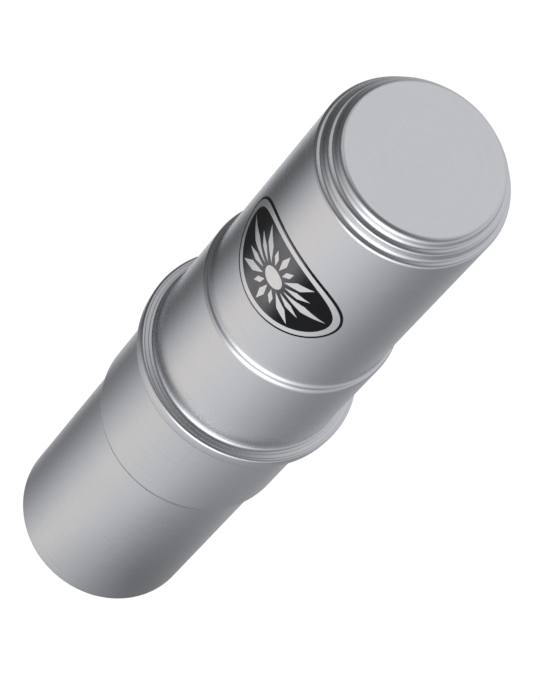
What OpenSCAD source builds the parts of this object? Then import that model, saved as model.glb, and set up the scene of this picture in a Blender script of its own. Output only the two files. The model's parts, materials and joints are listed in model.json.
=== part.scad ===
// Ganza shaker: two spun aluminium cups, seamed mouth to mouth round loose steel shot.
// It stands on its lower end. The origin is the middle of that flat end, +Z runs up the axis,
// and the label faces -Y. Lengths are in millimetres.

/* [Cups] */
// Outside diameter of the straight tube
tube_d = 50.8; // [46:0.2:60]
// Length of one cup, from its flat end to the middle of the seam
cup_len = 123; // [110:1:150]
// Thickness of the spun sheet
sheet = 1.5; // [1:0.1:1.7]

/* [Stepped ends] */
// Number of steps that draw each end in
end_steps = 2; // [1:1:3]
// How far one step draws in towards the axis
step_in = 1.73; // [1.4:0.01:2.2]
// Length of one step along the axis
step_len = 3.5; // [2.8:0.1:4.5]
// How far the wall of a step widens towards its foot
step_draft = 0.6; // [0.3:0.05:0.7]
// How far the tread of a step falls towards its edge
step_slope = 0.4; // [0.2:0.05:0.6]
// Rounding of the edges and corners of the steps
step_fillet = 1.1; // [0.4:0.05:1.2]
// Rounding of the flat end's edge
edge_fillet = 1.6; // [0.8:0.1:1.8]
// How much narrower the flat end is than the steps alone would make it
edge_trim = 0.17; // [0:0.01:0.3]

/* [Belly and shoulder] */
// How far the belly stands out from the tube
belly_out = 1.4; // [1:0.1:2.4]
// Length of the belly, from the middle of the seam to the shoulder
belly_len = 41.7; // [36:0.1:50]
// Length of the shoulder's slope along the axis
shoulder_run = 1.3; // [0.9:0.1:2.4]
// Rounding of both bends of the shoulder
shoulder_fillet = 2.2; // [1.2:0.1:3]

/* [Seam] */
// How far the rim stands out from the belly
rim_out = 3.3; // [3:0.1:4.5]
// Rounding between the upper belly and the face of the rim
flare_fillet = 2.5; // [1.6:0.1:3]
// Rounding of the rim's edges
rim_fillet = 0.85; // [0.5:0.05:1.1]
// Rounding under the lower cup's lip
bend_fillet = 0.5; // [0.3:0.05:0.7]
// Free space between the fold's edge and the lower belly
fold_space = 0.8; // [0.75:0.05:1.1]
// Clearance between the lip and the fold that grips it
seam_gap = 0.05; // [0.02:0.01:0.1]

/* [Label] */
// Width of the label, measured round the tube
label_w = 42; // [30:1:50]
// Height of the label along the tube
label_h = 32; // [24:1:40]
// Distance from the upper flat end to the label's middle
label_drop = 46; // [40:1:52]
// Thickness of the label's foil
label_thick = 0.2; // [0.1:0.05:0.4]
// Thickness of the glue under the label
glue = 0.05; // [0.02:0.01:0.1]

/* [Shot] */
// Diameter of one ball of the shot
shot_d = 4.5; // [4:0.1:5.5]
// Least space between two balls, and between a ball and the wall
shot_gap = 0.1; // [0.05:0.01:0.2]

/* [Hidden] */

// The least rounding inside a bend, and the share of an edge that its two fillets may use up
inner_fillet = 0.3;
fillet_share = 0.98;

tube_r = tube_d / 2;
belly_r = tube_r + belly_out;
rim_r = belly_r + rim_out;
total_len = 2 * cup_len;

// Half the thickness of the lower lip, and of the three sheets that lie together at the rim
lip_half = sheet / 2;
rim_half = lip_half + seam_gap + sheet;
lip_r = rim_r - sheet - inner_fillet;
fold_r = belly_r + fold_space;

// Straight pieces in one fillet, sides of a turned shape, sides of a ball, points of the label's edge
fillet_steps = 8;
turned_sides = 144;
ball_sides = 24;
label_points = 72;

// Layers of shot, their spacing across a layer, and the rise to the next layer, which lies in its hollows
shot_layers = 4;
shot_r = shot_d / 2;
shot_pitch = shot_d + shot_gap;
shot_row = shot_pitch * sqrt(3) / 2;
shot_rise = shot_pitch * sqrt(2 / 3);

// Directions and turns of a path of points
function place(c) = [c[0], c[1]];
function heading(a, b) = (b - a) / norm(b - a);
function right_of(d) = [d.y, -d.x];
function turn(a, b) = atan2(a.x * b.y - a.y * b.x, a * b);
function turned(v, t) = [v.x * cos(t) - v.y * sin(t), v.x * sin(t) + v.y * cos(t)];
function reversed(path) = [for (i = [len(path) - 1:-1:0]) path[i]];

// A path's corners are [radius, height, fillet]. The turn at corner i, and the length of its fillet along
// either edge, which is as wanted unless it and its neighbour's would use up the edge between them.
function turn_at(c, i) =
    turn(heading(place(c[i - 1]), place(c[i])), heading(place(c[i]), place(c[i + 1])));
function wanted(c, i) = i == 0 || i == len(c) - 1 ? 0 : c[i][2] * tan(abs(turn_at(c, i)) / 2);
function edge_room(c, i, j) =
    wanted(c, i) * min(1, fillet_share * norm(place(c[j]) - place(c[i])) / (wanted(c, i) + wanted(c, j)));
function tangent_len(c, i) = min(edge_room(c, i, i - 1), edge_room(c, i, i + 1));

function fillet_arc(c, i) =
    let (along = heading(place(c[i - 1]), place(c[i])),
         t = turn_at(c, i),
         len = tangent_len(c, i),
         r = len / tan(abs(t) / 2),
         start = place(c[i]) - len * along,
         centre = start - sign(t) * r * right_of(along))
    [for (k = [0:fillet_steps]) centre + turned(start - centre, t * k / fillet_steps)];

function rounded(c) =
    [place(c[0]), for (i = [1:len(c) - 2]) each fillet_arc(c, i), place(c[len(c) - 1])];

// The inner face of a sheet whose outer face has the corners c: each corner moves in by the sheet,
// and a bend that is tight outside is wide inside, or the other way round
function inner_corner(c, i) =
    let (last = len(c) - 1,
         before = right_of(heading(place(c[max(i - 1, 0)]), place(c[max(i, 1)]))),
         after = right_of(heading(place(c[min(i, last - 1)]), place(c[min(i + 1, last)]))),
         at = place(c[i]) + sheet * (before + after) / (1 + before * after),
         bend = i == 0 || i == last ? 0 : turn_at(c, i))
    [at.x, at.y, bend > 0 ? c[i][2] + sheet : max(c[i][2] - sheet, inner_fillet)];

function inner_face(c) = [for (i = [0:len(c) - 1]) inner_corner(c, i)];

// One sheet of metal turned round the axis
module spun_sheet(c) {
    rotate_extrude($fn = turned_sides)
        polygon(concat(rounded(c), reversed(rounded(inner_face(c)))));
}

// Outer face of a cup from the middle of its flat end to its belly, height counted from the seam's middle
function step_r(k) = tube_r - (end_steps - k) * step_in;
function step_h(k) = cup_len - k * step_len;
cup_face = [
    [0, cup_len, 0],
    [step_r(0) - edge_trim, cup_len, edge_fillet],
    for (k = [1:end_steps]) each [
        [step_r(k - 1) + step_draft, step_h(k) + step_slope, step_fillet],
        [step_r(k), step_h(k), step_fillet]
    ],
    [tube_r, belly_len + shoulder_run, shoulder_fillet],
    [belly_r, belly_len, shoulder_fillet]
];

// The upper cup's rim runs out over the lower cup's lip, round its edge and back in below it
upper_rim = [
    [belly_r, rim_half, flare_fillet],
    [rim_r, rim_half, rim_fillet],
    [rim_r, -rim_half, rim_fillet],
    [fold_r, -rim_half, 0]
];
lower_lip = [
    [belly_r, lip_half, bend_fillet],
    [lip_r, lip_half, 0]
];

module upper_cup() {
    color([0.76, 0.77, 0.79])
        translate([0, 0, cup_len])
            spun_sheet(concat(cup_face, upper_rim));
}

module lower_cup() {
    color([0.72, 0.73, 0.75])
        translate([0, 0, cup_len])
            mirror([0, 0, 1])
                spun_sheet(concat(cup_face, lower_lip));
}

// The label's edge seen from the front: an ellipse once it is peeled off and laid flat
function wrapped(s) = tube_r * sin(s / tube_r * 180 / PI);
label_edge = [for (i = [0:label_points - 1])
    let (t = 360 * i / label_points) [wrapped(label_w / 2 * cos(t)), label_h / 2 * sin(t)]];

module label() {
    inner_r = tube_r + glue;
    outer_r = inner_r + label_thick;
    color([0.12, 0.12, 0.13])
        translate([0, 0, total_len - label_drop])
            intersection() {
                difference() {
                    cylinder(r = outer_r, h = 2 * label_h, center = true, $fn = turned_sides);
                    cylinder(r = inner_r, h = 3 * label_h, center = true, $fn = turned_sides);
                }
                rotate([90, 0, 0])
                    linear_extrude(height = 2 * tube_r)
                        polygon(label_edge);
            }
}

// Free radius of the chamber at the underside of a ball, and how far out its centre may lie
function layer_z(k) = sheet + shot_gap + shot_r + k * shot_rise;
function chamber_r(z) =
    let (steps_below = [for (k = [1:end_steps]) if (z > k * step_len + sheet) k])
    step_r(len(steps_below)) - sheet;
function centre_r(k) = chamber_r(layer_z(k) - shot_r) - shot_r - shot_gap;
// The heap is alike at both ends, so that it seats in the upper end as it does in the lower one
function layer_room(k) = min(centre_r(k), centre_r(shot_layers - 1 - k));

// One layer of balls in rows, every second layer shifted into the hollows of the one below
module shot_layer(k) {
    shift = k % 2 == 0 ? [0, 0] : [shot_pitch / 2, shot_row / 3];
    rows = ceil(tube_r / shot_row);
    across = ceil(tube_r / shot_pitch);
    color([0.55, 0.56, 0.58])
        for (row = [-rows:rows], i = [-across - 1:across + 1]) {
            stagger = row % 2 == 0 ? 0 : shot_pitch / 2;
            at = [i * shot_pitch + stagger, row * shot_row] + shift;
            if (norm(at) <= layer_room(k))
                translate([at.x, at.y, layer_z(k)])
                    sphere(r = shot_r, $fn = ball_sides);
        }
}

module steel_shot_1() { shot_layer(0); }
module steel_shot_2() { shot_layer(1); }
module steel_shot_3() { shot_layer(2); }
module steel_shot_4() { shot_layer(3); }

upper_cup();
lower_cup();
label();
steel_shot_1();
steel_shot_2();
steel_shot_3();
steel_shot_4();
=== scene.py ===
# %% [markdown]
# # A ganza shaker
# The real thing is a closed metal tube. Two aluminium cups, each spun from one flat sheet on a lathe,
# meet mouth to mouth at a raised rim, and loose steel shot rattles inside. A foil label is stuck round
# the upper tube. The CAD model is loaded first: it fixes every size and place, and the pieces made here
# give it the surfaces of the real metal. All lengths are in metres.

# %% Load the frame
import json
import math
import bpy
from mathutils import Matrix, Vector


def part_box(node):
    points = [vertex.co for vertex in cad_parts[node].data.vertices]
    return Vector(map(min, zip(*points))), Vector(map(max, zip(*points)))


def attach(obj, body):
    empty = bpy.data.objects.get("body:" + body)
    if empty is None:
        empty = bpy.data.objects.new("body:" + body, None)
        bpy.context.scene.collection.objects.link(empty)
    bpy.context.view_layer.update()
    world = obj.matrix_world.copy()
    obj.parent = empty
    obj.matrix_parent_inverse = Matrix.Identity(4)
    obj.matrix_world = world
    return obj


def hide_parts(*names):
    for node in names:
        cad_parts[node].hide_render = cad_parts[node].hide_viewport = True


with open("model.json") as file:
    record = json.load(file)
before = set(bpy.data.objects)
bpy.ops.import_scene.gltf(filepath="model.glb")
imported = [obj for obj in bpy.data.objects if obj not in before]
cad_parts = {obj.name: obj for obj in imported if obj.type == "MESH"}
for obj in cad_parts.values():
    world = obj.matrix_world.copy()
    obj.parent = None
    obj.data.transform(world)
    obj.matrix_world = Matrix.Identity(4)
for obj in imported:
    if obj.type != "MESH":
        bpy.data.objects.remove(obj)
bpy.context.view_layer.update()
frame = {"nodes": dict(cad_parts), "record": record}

MM = 0.001

# %% [markdown]
# ## Sizes
# The overall sizes are read from the frame, so that a piece can't drift away from its CAD node: the
# length, the rim and the label from their boxes, and the tube from the mount that states its radius.
#
# The flat end and the shoulder have the CAD model's own bends, and so has the inner face of the steps.
# The outer face of the steps and the rim are drawn finer than the CAD model has them, because their
# bends are what the photograph shows as thin lines of light. A step is given by its edge. Going in and
# up from the edge come a soft roll, the foot of the wall and the wall's own bend, and from there the
# wall runs straight to the next edge. Each offset is (outward, upward).

# %% Sizes of the cups and the label
total_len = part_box("upper_cup")[1].z
cup_len = total_len / 2
rim_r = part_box("upper_cup")[1].x
tube_mount = next(m for m in frame["record"]["mounts"] if m["name"] == "lower_tube")
tube_r = tube_mount["dims"]["r_mm"] * MM

# The sheet
sheet = 1.5 * MM
inner_fillet = 0.3 * MM

# The flat end and the plain steps of the inner face
end_steps = 2
step_in = 1.73 * MM
step_len = 3.5 * MM
step_draft = 0.6 * MM
step_slope = 0.4 * MM
step_fillet = 1.1 * MM
edge_fillet = 1.6 * MM
edge_trim = 0.17 * MM

# The rolled steps of the outer face
first_edge = 3.55 * MM
edge_gap = 3.45 * MM
edge_trims = (0.12 * MM, 0)
foot_from_edge = (-1.15 * MM, 0.60 * MM)
wall_bend_from_foot = (-0.54 * MM, 0.52 * MM)
roll_from_edge = (-0.60 * MM, 0.44 * MM)
wall_fillet = 1.8 * MM
foot_fillet = 0.5 * MM
roll_fillet = 1.6 * MM
step_edge_fillets = (0.75 * MM, 1.6 * MM)

# The belly and the shoulder
belly_out = 1.4 * MM
belly_r = tube_r + belly_out
belly_len = 41.7 * MM
shoulder_run = 1.3 * MM
shoulder_fillet = 2.2 * MM

# The rim, and the lip that it holds
seam_gap = 0.05 * MM
fold_space = 0.8 * MM
fold_r = belly_r + fold_space
lip_half = sheet / 2
rim_half = lip_half + seam_gap + sheet
lip_r = rim_r - sheet - inner_fillet
bend_fillet = 0.5 * MM
flare_fillet = 1.4 * MM
rim_slope = 0.85 * MM
rim_fillet = 0.85 * MM
rim_bulge_h = rim_half / 3
rim_bulge_fillet = 12 * MM
rim_tuck = 0.17 * MM

label_low, label_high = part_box("label")
label_middle = (label_low.z + label_high.z) / 2
label_h = label_high.z - label_low.z
label_r = -label_low.y
label_w = 2 * label_r * math.asin(label_high.x / label_r)
print("cup, rim radius, tube radius in mm:", [round(v / MM, 2) for v in (cup_len, rim_r, tube_r)])
print("label's width, height, middle in mm:", [round(v / MM, 2) for v in (label_w, label_h, label_middle)])

# %% [markdown]
# ## The camera
# The photograph looks down on the shaker from above its labelled end, with the camera rolled so that
# the shaker runs from corner to corner. The lens is long, which keeps the tube's sides nearly parallel.
# The angles come from fitting the rims and edges of the shaker to the photograph.

# %% Set the camera
camera_azimuth = math.radians(18.70)
camera_elevation = math.radians(58.76)
camera_roll = math.radians(41.91)
camera_distance = 1.1224
camera_aim = Vector((1.3, 5.5, 125.9)) * MM
camera_lens_mm = 220.62
camera_sensor_mm = 36

bpy.ops.object.select_all(action="DESELECT")
bpy.ops.object.camera_add()
camera = bpy.context.object
facing = (
    Matrix.Rotation(camera_azimuth, 4, "Z")
    @ Matrix.Rotation(math.pi / 2 - camera_elevation, 4, "X")
    @ Matrix.Rotation(camera_roll, 4, "Z")
)
camera_back = facing.to_3x3() @ Vector((0, 0, 1))
camera.matrix_world = Matrix.Translation(camera_aim + camera_back * camera_distance) @ facing
camera.data.lens = camera_lens_mm
camera.data.sensor_width = camera_sensor_mm
bpy.context.scene.camera = camera
bpy.context.scene.view_settings.view_transform = "Standard"
print("camera at", [round(v, 4) for v in camera.matrix_world.translation])

# %% [markdown]
# ## Node helpers
# Materials are graphs of nodes. The first helper adds one node, sets its options and fills its sockets:
# a socket that is given another node's output is linked to it, and any other value is written in. The
# other helpers add the nodes that come back often, and give out what the node makes.

# %% Write the node helpers
def add(tree, kind, options=None, sockets=None):
    made = tree.nodes.new(kind)
    for name, value in (options or {}).items():
        setattr(made, name, value)
    for name, value in (sockets or {}).items():
        if isinstance(value, bpy.types.NodeSocket):
            tree.links.new(value, made.inputs[name])
        else:
            made.inputs[name].default_value = value
    return made


def maths(tree, operation, *values):
    return add(tree, "ShaderNodeMath", {"operation": operation}, dict(enumerate(values))).outputs[0]


def noise(tree, where, scale, detail):
    sockets = {"Vector": where, "Scale": scale, "Detail": detail}
    return add(tree, "ShaderNodeTexNoise", None, sockets).outputs[0]


def mix_colours(tree, share, first, second):
    # a Mix node's colours are its inputs 6 and 7, and their mixture is its output 2
    return add(tree, "ShaderNodeMix", {"data_type": "RGBA"}, {0: share, 6: first, 7: second}).outputs[2]


print("helpers:", [helper.__name__ for helper in (add, maths, noise, mix_colours)])

# %% [markdown]
# ## The studio
# Metal shows its surroundings, so the studio is drawn with care. The camera sees plain white. What the
# metal sees is dark underneath, with seven rings of light above one another that blend softly, and
# each ring is brighter on some sides than on others. The camera looks down steeply, so the tube and the
# belly reflect what lies below them, the low ring: bright from the front left to the front, dim on the
# right, dark on the far left, and white behind the shaker. The slopes and bends reflect the rings
# further up, and the very bright front of the level ring makes their thin lines. The flat end reflects
# the high ring at the back.
#
# A ring is a list of stops, each with its degrees from the camera's side (0 is the front, 90 the
# right), its brightness and its tint. The list of rings goes upward. The two numbers of a ring are the
# heights between which it takes over from the one below, as the upward part of a direction.

# %% Light the studio
def ring_of_light(tree, turn_share, stops):
    ramp = add(tree, "ShaderNodeValToRGB", None, {"Fac": turn_share})
    ramp.color_ramp.interpolation = "LINEAR"
    elements = ramp.color_ramp.elements
    while len(elements) < len(stops):
        elements.new(1)
    for element, (degrees, level, tint) in zip(elements, stops):
        element.position = degrees / 360 + 0.5
        element.color = (*(level * part for part in tint), 1)
    return ramp.outputs["Color"]


backdrop_white = (1, 1, 1, 1)
cool = (0.965, 0.985, 1.03)
plain = (1, 1, 1.03)
warm = (1.04, 0.99, 0.96)
faint = (1.015, 0.99, 0.99)
steep_ring = [
    (-180, 0.76, plain), (-160, 0.36, cool), (-140, 0.27, cool), (-120, 0.36, cool), (-98, 0.47, cool),
    (-72, 0.67, cool), (-50, 0.84, faint), (-28, 0.84, faint), (-10, 0.77, plain), (18, 0.70, cool),
    (50, 0.54, cool), (80, 0.43, cool), (105, 0.36, cool), (130, 0.36, cool), (152, 0.40, cool),
    (168, 0.50, cool), (180, 0.74, plain),
]
low_ring = [
    (-180, 1.00, plain), (-165, 0.96, cool), (-150, 0.69, cool), (-136, 0.20, cool), (-118, 0.09, cool),
    (-98, 0.20, cool), (-72, 0.60, cool), (-52, 0.82, warm), (-32, 0.84, warm), (-10, 0.83, plain),
    (18, 0.74, cool), (50, 0.51, cool), (80, 0.30, cool), (105, 0.26, cool), (132, 0.33, cool),
    (152, 0.45, cool), (166, 0.50, cool), (180, 0.78, plain),
]
slope_ring = [
    (-180, 0.60, plain), (-150, 0.36, cool), (-125, 0.10, cool), (-97, 0.07, cool), (-81, 0.12, cool),
    (-65, 0.30, cool), (-49, 0.48, plain), (-33, 0.62, plain), (-16, 0.85, plain), (0, 1.10, plain),
    (14, 1.15, plain), (30, 1.00, plain), (50, 0.70, cool), (80, 0.40, cool), (105, 0.38, cool),
    (140, 0.50, cool), (180, 0.60, plain),
]
level_ring = [
    (-180, 0.64, plain), (-160, 0.52, cool), (-135, 0.18, cool), (-100, 0.12, cool), (-80, 0.18, cool),
    (-64, 0.30, cool), (-45, 0.58, plain), (-24, 0.84, plain), (-12, 1.40, plain), (0, 3.00, plain),
    (18, 3.20, plain), (32, 1.90, plain), (46, 1.10, plain), (62, 0.66, cool), (80, 0.58, cool),
    (105, 0.70, cool), (150, 0.76, cool), (180, 0.64, plain),
]
mid_ring = [
    (-180, 0.78, plain), (-162, 0.50, plain), (-140, 0.10, cool), (-115, 0.08, cool), (-60, 0.10, cool),
    (-42, 0.16, cool), (-26, 0.45, plain), (-10, 0.85, plain), (30, 0.85, plain), (50, 0.40, cool),
    (70, 0.22, cool), (90, 0.30, cool), (106, 0.48, cool), (130, 0.66, cool), (150, 0.74, plain),
    (180, 0.78, plain),
]
high_ring = [
    (-180, 0.81, plain), (-166, 0.74, plain), (-150, 0.56, cool), (-134, 0.57, cool), (-120, 0.62, plain),
    (-84, 0.60, plain), (-66, 0.36, plain), (-44, 0.18, cool), (-20, 0.15, cool), (40, 0.14, cool),
    (70, 0.22, cool), (90, 0.42, cool), (106, 0.58, cool), (130, 0.70, plain), (150, 0.78, plain),
    (180, 0.81, plain),
]
top_ring = [
    (-180, 0.26, plain), (-150, 0.34, cool), (-120, 0.44, cool), (-80, 0.40, cool), (-50, 0.20, cool),
    (0, 0.14, cool), (60, 0.15, cool), (120, 0.24, cool), (180, 0.26, plain),
]
rings_upward = [
    (-0.965, -0.93, steep_ring), (-0.90, -0.845, low_ring), (-0.80, -0.55, slope_ring),
    (-0.45, -0.12, level_ring), (0.02, 0.48, mid_ring), (0.56, 0.68, high_ring),
    (0.91, 0.97, top_ring),
]
underneath = (0.08, 0.08, 0.085, 1)


def blend_rings(tree, height, start, end, below, above):
    share = add(
        tree,
        "ShaderNodeMapRange",
        {"interpolation_type": "SMOOTHSTEP"},
        {"Value": height, "From Min": start, "From Max": end},
    )
    return mix_colours(tree, share.outputs[0], below, above)


def studio():
    world = bpy.data.worlds.new("studio")
    world.use_nodes = True
    tree = world.node_tree
    tree.nodes.clear()
    look = add(tree, "ShaderNodeTexCoord").outputs["Generated"]
    from_camera = add(
        tree,
        "ShaderNodeVectorRotate",
        {"rotation_type": "Z_AXIS"},
        {"Vector": look, "Angle": math.pi / 2 - camera_azimuth},
    )
    parts = add(tree, "ShaderNodeSeparateXYZ", None, {0: from_camera.outputs[0]}).outputs
    turn = maths(tree, "ARCTAN2", parts["Y"], parts["X"])
    turn_share = maths(tree, "ADD", maths(tree, "DIVIDE", turn, 2 * math.pi), 0.5)
    mixed = underneath
    for start, end, stops in rings_upward:
        above = ring_of_light(tree, turn_share, stops)
        mixed = blend_rings(tree, parts["Z"], start, end, mixed, above)
    surroundings = add(tree, "ShaderNodeBackground", None, {"Color": mixed})
    backdrop = add(tree, "ShaderNodeBackground", None, {"Color": backdrop_white})
    to_camera = add(tree, "ShaderNodeLightPath").outputs["Is Camera Ray"]
    sources = {1: surroundings.outputs[0], 2: backdrop.outputs[0]}
    seen = add(tree, "ShaderNodeMixShader", None, {0: to_camera, **sources})
    add(tree, "ShaderNodeOutputWorld", None, {"Surface": seen.outputs[0]})
    return world


bpy.context.scene.world = studio()
print("studio rings and their stops:", [len(stops) for start, end, stops in rings_upward])

# %% [markdown]
# ## The floor
# The floor is as white as the backdrop. Most of that white is a glow that only the camera sees, and the
# rest is a diffuse surface, which the shaker darkens a little where it stands. Reflections pass
# through the floor and go on to the studio's lower rings.

# %% Lay the floor
floor_size = 6
floor_glow = 0.94
floor_white = 0.22

bpy.ops.object.select_all(action="DESELECT")
bpy.ops.mesh.primitive_plane_add(size=floor_size)
floor = bpy.context.object
floor.name = "floor"
floor_material = bpy.data.materials.new("floor_white")
floor_material.use_nodes = True
floor_tree = floor_material.node_tree
floor_tree.nodes.clear()
matt_colour = (floor_white, floor_white, floor_white, 1)
matt = add(floor_tree, "ShaderNodeBsdfDiffuse", None, {"Color": matt_colour})
floor_seen = add(floor_tree, "ShaderNodeLightPath").outputs["Is Camera Ray"]
glow_seen = maths(floor_tree, "MULTIPLY", floor_seen, floor_glow)
glow = add(floor_tree, "ShaderNodeEmission", None, {"Strength": glow_seen})
both = add(floor_tree, "ShaderNodeAddShader", None, {0: matt.outputs[0], 1: glow.outputs[0]})
add(floor_tree, "ShaderNodeOutputMaterial", None, {"Surface": both.outputs[0]})
floor.data.materials.append(floor_material)
floor.visible_glossy = False
print("floor", floor_size, "m across")

# %% [markdown]
# ## The shaker's shadow
# The light comes from the left, so the floor is a little darker to the right of the shaker's foot. The
# floor itself isn't seen in reflections, so a thin dark disc there stands in for its shadow: it dims what
# the lower end of the tube reflects, and fades out towards its own edge. The camera doesn't see it.

# %% Lay the shadow
shadow_r = 46 * MM
shadow_middle = Vector((35, -10, 0)) * MM
shadow_dark = 0.5
shadow_sides = 64

bpy.ops.object.select_all(action="DESELECT")
bpy.ops.mesh.primitive_circle_add(
    vertices=shadow_sides, radius=shadow_r, fill_type="NGON", location=shadow_middle
)
shadow = bpy.context.object
shadow.name = "shadow_on_floor"
shadow_material = bpy.data.materials.new("shadow_fading")
shadow_material.use_nodes = True
shadow_tree = shadow_material.node_tree
shadow_tree.nodes.clear()
shadow_where = add(shadow_tree, "ShaderNodeTexCoord").outputs["Object"]
shadow_out = add(shadow_tree, "ShaderNodeVectorMath", {"operation": "LENGTH"}, {0: shadow_where})
shadow_share = add(
    shadow_tree,
    "ShaderNodeMapRange",
    None,
    {"Value": shadow_out.outputs["Value"], "From Max": shadow_r, "To Min": shadow_dark, "To Max": 0},
)
clear = add(shadow_tree, "ShaderNodeBsdfTransparent")
dark = add(shadow_tree, "ShaderNodeEmission", None, {"Strength": 0})
faded_dark = add(
    shadow_tree,
    "ShaderNodeMixShader",
    None,
    {0: shadow_share.outputs[0], 1: clear.outputs[0], 2: dark.outputs[0]},
)
add(shadow_tree, "ShaderNodeOutputMaterial", None, {"Surface": faded_dark.outputs[0]})
shadow.data.materials.append(shadow_material)
shadow.visible_camera = False
shadow.visible_shadow = False
shadow.visible_diffuse = False
print("shadow", round(2 * shadow_r / MM), "mm across")

# %% [markdown]
# ## Fine grain
# Satin metal, foil, ink and shot share one effect: a fine, uneven grain that scatters light. It is a
# node group with a size and a low and a high value, and it gives out a value for the roughness and a
# height for the bump.

# %% Build the grain group
noise_low = 0.3  # most of a noise lies between these two
noise_high = 0.7


def grain_group():
    group = bpy.data.node_groups.new("fine_grain", "ShaderNodeTree")
    for name in ("Size", "Low", "High"):
        group.interface.new_socket(name, in_out="INPUT", socket_type="NodeSocketFloat")
    for name in ("Value", "Height"):
        group.interface.new_socket(name, in_out="OUTPUT", socket_type="NodeSocketFloat")
    given = add(group, "NodeGroupInput").outputs
    where = add(group, "ShaderNodeTexCoord").outputs["Object"]
    fine = noise(group, where, scale=given["Size"], detail=2)
    noise_range = {"From Min": noise_low, "From Max": noise_high}
    given_range = {"To Min": given["Low"], "To Max": given["High"]}
    spread = add(group, "ShaderNodeMapRange", None, {"Value": fine, **noise_range, **given_range})
    add(group, "NodeGroupOutput", None, {"Value": spread.outputs[0], "Height": fine})
    return group


fine_grain = grain_group()


def grained(tree, size, low, high):
    sockets = {"Size": size, "Low": low, "High": high}
    return add(tree, "ShaderNodeGroup", {"node_tree": fine_grain}, sockets).outputs


print("grain group:", [s.name for s in fine_grain.interface.items_tree])

# %% [markdown]
# ## Spun aluminium
# The spinning tool leaves fine rings in the metal, and they run round the axis everywhere: along the
# tube they are lines across it, and on the flat end they are circles. So one noise reads only the
# distance from the axis and the height, never the angle. Polishing leaves long streaks the same way
# round, and their noise reads the angle too, but very slowly. A broad noise lets both fade in and out.
# They act on the roughness, the tone and the bump, and the fine grain covers them. The flat ends are
# smoother, so the grain is shallower there.

# %% Make spun aluminium
ring_scale = 520
streak_scale = 900
streak_pace = 0.0035  # metres that a streak's noise moves on with one radian round the axis
streak_share = 1.5
fading_scale = 38
cloud_scale = 22
ring_roughness = 0.10
ring_tone = 0.3
metal_dark = (0.66, 0.67, 0.685, 1)
metal_light = (0.72, 0.725, 0.735, 1)
tube_grain = 0.30
end_grain = 0.14
end_zone = (1 * MM, 0.1 * MM)  # distance from the flat end where its grain begins and is all there
metal_bump = {"Strength": 0.45, "Distance": 0.05 * MM}


def spun_aluminium():
    material = bpy.data.materials.new("spun_aluminium")
    material.use_nodes = True
    tree = material.node_tree
    shader = tree.nodes["Principled BSDF"]
    where = add(tree, "ShaderNodeTexCoord").outputs["Object"]
    parts = add(tree, "ShaderNodeSeparateXYZ", None, {0: where}).outputs
    squares = maths(tree, "ADD", maths(tree, "POWER", parts["X"], 2), maths(tree, "POWER", parts["Y"], 2))
    radius = maths(tree, "SQRT", squares)
    section = add(tree, "ShaderNodeCombineXYZ", None, {"X": radius, "Y": parts["Z"]}).outputs[0]
    rings = add(
        tree,
        "ShaderNodeTexNoise",
        {"noise_dimensions": "2D"},
        {"Vector": section, "Scale": ring_scale, "Detail": 4, "Roughness": 0.6},
    ).outputs[0]
    around = maths(tree, "MULTIPLY", maths(tree, "ARCTAN2", parts["Y"], parts["X"]), streak_pace)
    brushed = add(tree, "ShaderNodeCombineXYZ", None, {"X": around, "Y": parts["Z"], "Z": radius}).outputs[0]
    streaks = noise(tree, brushed, streak_scale, detail=3)
    streaked = maths(tree, "MULTIPLY", maths(tree, "SUBTRACT", streaks, 0.5), streak_share)
    turned = maths(tree, "ADD", maths(tree, "SUBTRACT", rings, 0.5), streaked)
    faded = maths(tree, "MULTIPLY", turned, noise(tree, where, fading_scale, detail=1))

    grain = grained(tree, size=2800, low=0.235, high=0.275)
    roughness = maths(tree, "ADD", grain["Value"], maths(tree, "MULTIPLY", faded, ring_roughness))
    tree.links.new(roughness, shader.inputs["Roughness"])

    cloud = noise(tree, where, cloud_scale, detail=2)
    shade = maths(tree, "ADD", maths(tree, "MULTIPLY", faded, ring_tone), cloud)
    tree.links.new(mix_colours(tree, shade, metal_dark, metal_light), shader.inputs["Base Color"])

    off_middle = maths(tree, "ABSOLUTE", maths(tree, "SUBTRACT", parts["Z"], cup_len))
    end_range = {"From Min": cup_len - end_zone[0], "From Max": cup_len - end_zone[1]}
    grain_range = {"To Min": tube_grain, "To Max": end_grain}
    grain_depth = add(tree, "ShaderNodeMapRange", None, {"Value": off_middle, **end_range, **grain_range})
    grain_height = maths(tree, "MULTIPLY", grain["Height"], grain_depth.outputs[0])
    height = maths(tree, "ADD", faded, grain_height)
    bump = add(tree, "ShaderNodeBump", None, {"Height": height, **metal_bump})
    tree.links.new(bump.outputs[0], shader.inputs["Normal"])
    shader.inputs["Metallic"].default_value = 1
    return material


aluminium = spun_aluminium()
print("made", aluminium.name, "with", len(aluminium.node_tree.nodes), "nodes")

# %% [markdown]
# ## A pen for outlines
# A spun cup is its own outline turned round the axis, so the outline is drawn first, as by hand: one
# vertex, extruded along each straight run and spun round the middle of each bend. A corner is given by
# its radius, its height and its fillet. Two fillets that would use up the run between them shrink to
# fit, as they do in the CAD model. A small turn gets fewer steps than a full bend.

# %% Draw an outline
bend_steps = 12
bend_step_least = math.radians(4)
fillet_share = 0.98


def pen_start(name, spot):
    bpy.ops.object.select_all(action="DESELECT")
    bpy.ops.mesh.primitive_plane_add(size=sheet)
    piece = bpy.context.object
    piece.name = name
    piece.data.name = name
    bpy.ops.object.mode_set(mode="EDIT")
    bpy.ops.mesh.select_all(action="SELECT")
    bpy.ops.mesh.merge(type="CENTER")
    bpy.ops.transform.translate(value=(spot.x, 0, spot.y))
    return piece


def pen_run(move):
    bpy.ops.mesh.extrude_region_move(TRANSFORM_OT_translate={"value": (move.x, 0, move.y)})


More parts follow.
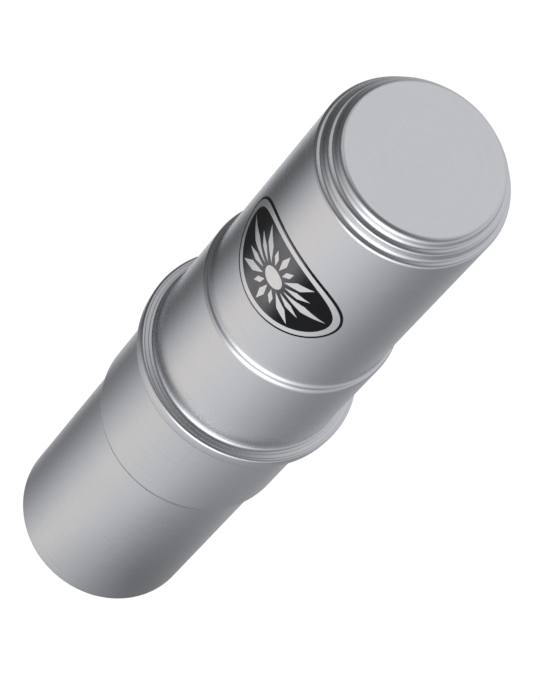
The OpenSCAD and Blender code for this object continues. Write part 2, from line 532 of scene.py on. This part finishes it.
def pen_bend(middle, turn):
    way = math.copysign(1, turn)  # the spin operator turns against the right-hand rule
    steps = min(bend_steps, math.ceil(abs(turn) / bend_step_least))
    bpy.ops.mesh.spin(steps=steps, angle=abs(turn), center=(middle.x, 0, middle.y), axis=(0, way, 0))


def turn_between(before, after):
    return math.atan2(before.x * after.y - before.y * after.x, before.dot(after))


def headings(corners):
    spots = [Vector(corner[:2]) for corner in corners]
    return [(b - a).normalized() for a, b in zip(spots, spots[1:])]


def tangents(corners):
    ways = headings(corners)
    runs = [(Vector(b[:2]) - Vector(a[:2])).length for a, b in zip(corners, corners[1:])]
    turns = [abs(turn_between(a, b)) for a, b in zip(ways, ways[1:])]
    wanted = [0] + [c[2] * math.tan(t / 2) for c, t in zip(corners[1:], turns)] + [0]
    room = [min(1, fillet_share * run / (a + b)) for run, a, b in zip(runs, wanted, wanted[1:])]
    return [length * min(a, b) for length, a, b in zip(wanted[1:-1], room, room[1:])]


def draw_outline(name, corners):
    here = Vector(corners[0][:2])
    piece = pen_start(name, here)
    ways = headings(corners)
    for corner, length, before, after in zip(corners[1:], tangents(corners), ways, ways[1:]):
        turn = turn_between(before, after)
        start = Vector(corner[:2]) - before * length
        side = Vector((-before.y, before.x)) * math.copysign(1, turn)
        pen_run(start - here)
        pen_bend(start + side * length / math.tan(abs(turn) / 2), turn)
        here = Vector(corner[:2]) + after * length
    pen_run(Vector(corners[-1][:2]) - here)
    return piece


print("pen ready, up to", bend_steps, "steps in a bend")

# %% [markdown]
# ## From an outline to a spun cup
# The pen draws the outer face from the middle of the flat end to the mouth, and the inner face back to
# the middle. The outer face has the rolled steps, whose tight bends the light picks out. The inner face
# belongs to the plain steps, because an inner face worked out from such tight bends would cross itself:
# each of the plain corners moves in by the sheet's thickness, with wide bends where the outer face has
# tight ones.
#
# One full spin round the axis makes the cup. Its doubles are merged, which closes both poles, and its
# normals are turned outward. Weighted normals keep the flat end and the straight tube from picking up
# the tilt of the small bends beside them.
#
# The upper cup ends in the rim. Its upper face falls a little outward and has two shallow lines that
# the roller has left in it. Its wall tucks in towards the bottom, and the sheet folds back under the
# lower cup's lip.

# %% Spin a cup
turned_sides = 240
merge_distance = 0.001 * MM
line_shares = (0.42, 0.72)  # where the roller's lines lie on the rim's upper face
line_half = 0.035  # half of a line's width, as a share of that face
line_depth = 0.06 * MM
line_fillet = 0.04 * MM


def inner_face(corners):
    ways = headings(corners)
    ways = [ways[0], *ways, ways[-1]]
    found = []
    for corner, before, after in zip(corners, ways, ways[1:]):
        inward = Vector((before.y, -before.x)) + Vector((after.y, -after.x))
        spot = Vector(corner[:2]) + inward * sheet / (1 + before.dot(after))
        turn = turn_between(before, after)
        fillet = corner[2] + sheet if turn > 0 else max(corner[2] - sheet, inner_fillet)
        found.append((spot.x, spot.y, fillet))
    return found


def spin_cup(name, outer, plain):
    piece = draw_outline(name, outer + inner_face(plain)[::-1])
    bpy.ops.mesh.select_all(action="SELECT")
    bpy.ops.mesh.spin(steps=turned_sides, angle=2 * math.pi, center=(0, 0, 0), axis=(0, 0, 1))
    bpy.ops.mesh.select_all(action="SELECT")
    bpy.ops.mesh.remove_doubles(threshold=merge_distance)
    bpy.ops.mesh.normals_make_consistent(inside=False)
    bpy.ops.object.mode_set(mode="OBJECT")
    bpy.ops.object.shade_smooth()
    weighted = piece.modifiers.new("weighted", "WEIGHTED_NORMAL")
    weighted.mode = "FACE_AREA"
    bpy.ops.object.modifier_apply(modifier=weighted.name)
    piece.data.materials.append(aluminium)
    print(name, len(piece.data.vertices), "vertices", [round(v / MM, 2) for v in piece.dimensions])
    return piece


flat_end = [(0, total_len, 0), (tube_r - end_steps * step_in - edge_trim, total_len, edge_fillet)]
shoulder = [
    (tube_r, cup_len + belly_len + shoulder_run, shoulder_fillet),
    (belly_r, cup_len + belly_len, shoulder_fillet),
]


def rolled_steps():
    corners = []
    for k in range(end_steps):
        edge_r = tube_r - (end_steps - 1 - k) * step_in - edge_trims[k]
        edge = Vector((edge_r, total_len - first_edge - k * edge_gap))
        foot = edge + Vector(foot_from_edge)
        for spot, fillet in (
            (foot + Vector(wall_bend_from_foot), wall_fillet),
            (foot, foot_fillet),
            (edge + Vector(roll_from_edge), roll_fillet),
            (edge, step_edge_fillets[k]),
        ):
            corners.append((spot.x, spot.y, fillet))
    return corners


def plain_steps():
    corners = []
    for k in range(1, end_steps + 1):
        edge_r = tube_r - (end_steps - k) * step_in
        edge_h = total_len - k * step_len
        corners.append((edge_r - step_in + step_draft, edge_h + step_slope, step_fillet))
        corners.append((edge_r, edge_h, step_fillet))
    return corners


outer_face = flat_end + rolled_steps() + shoulder
plain_face = flat_end + plain_steps() + shoulder

rim_foot = (belly_r, cup_len + rim_half + rim_slope, flare_fillet)
rim_round = [
    (rim_r, cup_len + rim_half, rim_fillet),
    (rim_r, cup_len + rim_bulge_h, rim_bulge_fillet),
    (rim_r - rim_tuck, cup_len - rim_half, rim_fillet),
    (fold_r, cup_len - rim_half, 0),
]


def on_rim(share, depth):
    out = Vector((rim_r - belly_r, -rim_slope))
    into_sheet = Vector((-rim_slope, belly_r - rim_r)).normalized()
    spot = Vector(rim_foot[:2]) + out * share + into_sheet * depth
    return (spot.x, spot.y, line_fillet)


roller_lines = []
for share in line_shares:
    roller_lines += [on_rim(share - line_half, 0), on_rim(share, line_depth), on_rim(share + line_half, 0)]
upper_outline = outer_face + [rim_foot] + roller_lines + rim_round
upper_cup = spin_cup("upper_cup_spun", upper_outline, plain_face + [rim_foot] + rim_round)
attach(upper_cup, "shaker")
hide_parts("upper_cup")

# %% [markdown]
# ## The lower cup
# The lower cup is the same spun form the other way up, with a plain lip that the upper rim folds round.
# Drawing it downward would turn its sheet inside out, so it is drawn as an upper cup and mirrored, and
# its normals are turned outward again.

# %% Spin the lower cup
lip = [(belly_r, cup_len + lip_half, bend_fillet), (lip_r, cup_len + lip_half, 0)]
lower_cup = spin_cup("lower_cup_spun", outer_face + lip, plain_face + lip)
bpy.ops.object.mode_set(mode="EDIT")
bpy.ops.mesh.select_all(action="SELECT")
bpy.ops.transform.resize(value=(1, 1, -1), center_override=(0, 0, cup_len))
bpy.ops.mesh.normals_make_consistent(inside=False)
bpy.ops.object.mode_set(mode="OBJECT")
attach(lower_cup, "shaker")
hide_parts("lower_cup")
print("lower cup from", round(min(v.co.z for v in lower_cup.data.vertices) / MM, 2))

# %% [markdown]
# ## The label
# The label is a thin oval of silver foil, printed in gloss black, with a bare silver band near its
# edge. Its middle carries a plain sunburst of silver rays. It is made flat, as a label is before it is
# stuck on: an oval face gets its printed line, its band and its field by two insets, and a wall by
# Solidify. Cuts across it let it bend, and only then is it wrapped round the tube. Down the middle the
# black is painted lighter and metallic: a painted sheen that stands in for the reflection of a long light.

# %% Make the label's inks
# painted sheen: where the lighter, metallic strip down the black lies, standing in for a reflection
painted_sheen_middle = -1.5 * MM
painted_sheen_zone = (10 * MM, 3 * MM)  # distance from there where the shine begins and is all there
# the ink's own black, and the lighter black of the painted sheen
ink_black = (0.003, 0.003, 0.0035, 1)
painted_sheen_black = (0.145, 0.15, 0.165, 1)
ink_specular = 0.06
ink_bump = {"Strength": 0.2, "Distance": 0.05 * MM}
foil_dark = (0.78, 0.78, 0.785, 1)
foil_light = (0.86, 0.86, 0.865, 1)
foil_bump = {"Strength": 0.15, "Distance": 0.02 * MM}


def label_black():
    material = bpy.data.materials.new("label_black")
    material.use_nodes = True
    tree = material.node_tree
    shader = tree.nodes["Principled BSDF"]
    where = add(tree, "ShaderNodeTexCoord").outputs["Object"]
    across = add(tree, "ShaderNodeSeparateXYZ", None, {0: where}).outputs["X"]
    # painted sheen: a lighter, metallic strip down the middle of the black stands in for a reflection
    off_painted_sheen = maths(tree, "ABSOLUTE", maths(tree, "SUBTRACT", across, painted_sheen_middle))
    painted_sheen_share = add(
        tree,
        "ShaderNodeMapRange",
        {"interpolation_type": "SMOOTHSTEP"},
        {"Value": off_painted_sheen, "From Min": painted_sheen_zone[0], "From Max": painted_sheen_zone[1]},
    ).outputs[0]
    cloud = noise(tree, where, scale=110, detail=2)
    unevenness = maths(tree, "ADD", maths(tree, "MULTIPLY", cloud, 0.6), 0.6)
    tone = mix_colours(tree, maths(tree, "MULTIPLY", painted_sheen_share, unevenness), ink_black, painted_sheen_black)
    tree.links.new(tone, shader.inputs["Base Color"])
    tree.links.new(painted_sheen_share, shader.inputs["Metallic"])
    grain = grained(tree, size=2500, low=0.14, high=0.20)
    tree.links.new(grain["Value"], shader.inputs["Roughness"])
    bump = add(tree, "ShaderNodeBump", None, {"Height": cloud, **ink_bump})
    tree.links.new(bump.outputs[0], shader.inputs["Normal"])
    shader.inputs["Specular IOR Level"].default_value = ink_specular
    return material


def label_silver():
    material = bpy.data.materials.new("label_silver")
    material.use_nodes = True
    tree = material.node_tree
    shader = tree.nodes["Principled BSDF"]
    grain = grained(tree, size=3500, low=0.26, high=0.34)
    tree.links.new(grain["Value"], shader.inputs["Roughness"])
    bump = add(tree, "ShaderNodeBump", None, {"Height": grain["Height"], **foil_bump})
    tree.links.new(bump.outputs[0], shader.inputs["Normal"])
    where = add(tree, "ShaderNodeTexCoord").outputs["Object"]
    cloud = noise(tree, where, scale=90, detail=2)
    tree.links.new(mix_colours(tree, cloud, foil_dark, foil_light), shader.inputs["Base Color"])
    shader.inputs["Metallic"].default_value = 1
    return material


black_ink = label_black()
silver_foil = label_silver()
print("inks:", black_ink.name, silver_foil.name)

# %% [markdown]
# ## Wrapping
# A flat label bends only along its cuts, so it is cut into narrow upright strips with the bisect
# operator. Wrapping then turns the distance from its middle line into a distance round the tube, and
# the distance in front of the drawing plane into a height above the metal.

# %% Cut and wrap a flat piece
glue = 0.05 * MM
foil_thick = 0.12 * MM
strip_w = 1.2 * MM
crease_angle = math.radians(30)


def select_piece(piece):
    bpy.ops.object.select_all(action="DESELECT")
    piece.select_set(True)
    bpy.context.view_layer.objects.active = piece


def wrap(piece):
    select_piece(piece)
    half = max(abs(v.co.x) for v in piece.data.vertices)
    bpy.ops.object.mode_set(mode="EDIT")
    strips = math.ceil(2 * half / strip_w)
    for k in range(1, strips):
        bpy.ops.mesh.select_all(action="SELECT")
        cut_x = half * (2 * k / strips - 1)
        bpy.ops.mesh.bisect(plane_co=(cut_x, 0, label_middle), plane_no=(1, 0, 0))
    bpy.ops.mesh.select_all(action="SELECT")
    bpy.ops.mesh.normals_make_consistent(inside=False)
    bpy.ops.object.mode_set(mode="OBJECT")
    for v in piece.data.vertices:
        around = v.co.x / tube_r
        out = tube_r + glue - v.co.y
        v.co = (out * math.sin(around), -out * math.cos(around), v.co.z)
    bpy.ops.object.shade_smooth_by_angle(angle=crease_angle)
    print(piece.name, len(piece.data.vertices), "vertices in", strips, "strips")


def thicken(piece, thickness):
    select_piece(piece)
    wall = piece.modifiers.new("wall", "SOLIDIFY")
    wall.thickness = thickness
    wall.offset = 1
    bpy.ops.object.modifier_apply(modifier=wall.name)


print("glue and foil in mm:", round(glue / MM, 2), round(foil_thick / MM, 2))

# %% [markdown]
# ## The foil
# One oval face, inset twice. The outermost ring of faces is the printed black line. What the first
# inset leaves selected turns silver, and what the second leaves selected turns black again, so the
# ring between them is the silver band. The oval stands upright in the XZ plane and faces the front, -Y.

# %% Make the foil
foil_sides = 144
edge_line = 0.72 * MM
silver_band = 1.85 * MM
design_middle = (0, 0, label_middle)


def upright_disc(name, sides, radius):
    bpy.ops.object.select_all(action="DESELECT")
    bpy.ops.mesh.primitive_circle_add(
        vertices=sides, radius=radius, fill_type="NGON", location=design_middle, rotation=(math.pi / 2, 0, 0)
    )
    piece = bpy.context.object
    piece.name = name
    piece.data.name = name
    bpy.ops.object.transform_apply(location=True, rotation=True, scale=True)
    return piece


foil = upright_disc("label_foil", foil_sides, 1)
foil.data.materials.append(black_ink)
foil.data.materials.append(silver_foil)
bpy.ops.object.mode_set(mode="EDIT")
bpy.ops.mesh.select_all(action="SELECT")
bpy.ops.transform.resize(value=(label_w / 2, 1, label_h / 2), center_override=design_middle)
bpy.ops.mesh.inset(thickness=edge_line)
foil.active_material_index = 1
bpy.ops.object.material_slot_assign()
bpy.ops.mesh.inset(thickness=silver_band)
foil.active_material_index = 0
bpy.ops.object.material_slot_assign()
bpy.ops.object.mode_set(mode="OBJECT")
thicken(foil, foil_thick)
wrap(foil)
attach(foil, "shaker")
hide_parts("label")

# %% [markdown]
# ## The sunburst
# A ray is a four-sided disc, drawn out long and thin, moved off the middle and turned. Long and short
# rays take turns round a small disc, and the tips of the long ones lie on an oval. The join makes them
# one piece, which lies on the field a hair above the ink.

# %% Draw the sunburst
ray_count = 16
ray_corners = 4
ray_start = 4.1 * MM
upright_ray_w = 1.9 * MM
sideways_ray_more = 1.1 * MM  # how much wider a ray is that lies level
ray_sizes = (1, 0.74)  # a long ray, then a short one
burst_half_w = 17.2 * MM
burst_half_h = 12.2 * MM
burst_rise = 0.04 * MM
disc_r = 3.2 * MM
disc_sides = 48


def ray(reach, width, turn):
    piece = upright_disc("ray", ray_corners, 1)
    bpy.ops.object.mode_set(mode="EDIT")
    bpy.ops.mesh.select_all(action="SELECT")
    bpy.ops.transform.resize(value=(width / 2, 1, (reach - ray_start) / 2), center_override=design_middle)
    bpy.ops.transform.translate(value=(0, 0, (reach + ray_start) / 2))
    bpy.ops.transform.rotate(value=turn, orient_axis="Y", center_override=design_middle)
    bpy.ops.object.mode_set(mode="OBJECT")
    return piece


rays = []
for k in range(ray_count):
    turn = 2 * math.pi * k / ray_count
    sideways = abs(math.sin(turn))
    reach = 1 / math.hypot(math.sin(turn) / burst_half_w, math.cos(turn) / burst_half_h)
    size = ray_sizes[k % 2]
    rays.append(ray(reach * size, (upright_ray_w + sideways_ray_more * sideways) * size, turn))
burst = upright_disc("label_sunburst", disc_sides, disc_r)
for piece in rays:
    piece.select_set(True)
bpy.ops.object.join()
burst.data.materials.append(silver_foil)
bpy.ops.object.mode_set(mode="EDIT")
bpy.ops.mesh.select_all(action="SELECT")
bpy.ops.transform.translate(value=(0, -foil_thick, 0))
bpy.ops.object.mode_set(mode="OBJECT")
thicken(burst, burst_rise)
wrap(burst)
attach(burst, "shaker")
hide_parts("label")

# %% [markdown]
# ## The shot
# The balls come from the CAD model as they are. They are bright steel with a fine grain.

# %% Make the steel of the shot
steel_dark = (0.50, 0.50, 0.51, 1)
steel_light = (0.60, 0.60, 0.61, 1)


def shot_steel():
    material = bpy.data.materials.new("shot_steel")
    material.use_nodes = True
    tree = material.node_tree
    shader = tree.nodes["Principled BSDF"]
    grain = grained(tree, size=3000, low=0.20, high=0.30)
    tree.links.new(grain["Value"], shader.inputs["Roughness"])
    where = add(tree, "ShaderNodeTexCoord").outputs["Object"]
    cloud = noise(tree, where, scale=300, detail=2)
    tree.links.new(mix_colours(tree, cloud, steel_dark, steel_light), shader.inputs["Base Color"])
    shader.inputs["Metallic"].default_value = 1
    return material


steel = shot_steel()
shot_nodes = [name for name in frame["nodes"] if name.startswith("steel_shot")]
for name in shot_nodes:
    balls = frame["nodes"][name]
    balls.data.materials.clear()
    balls.data.materials.append(steel)
print("steel on", shot_nodes)
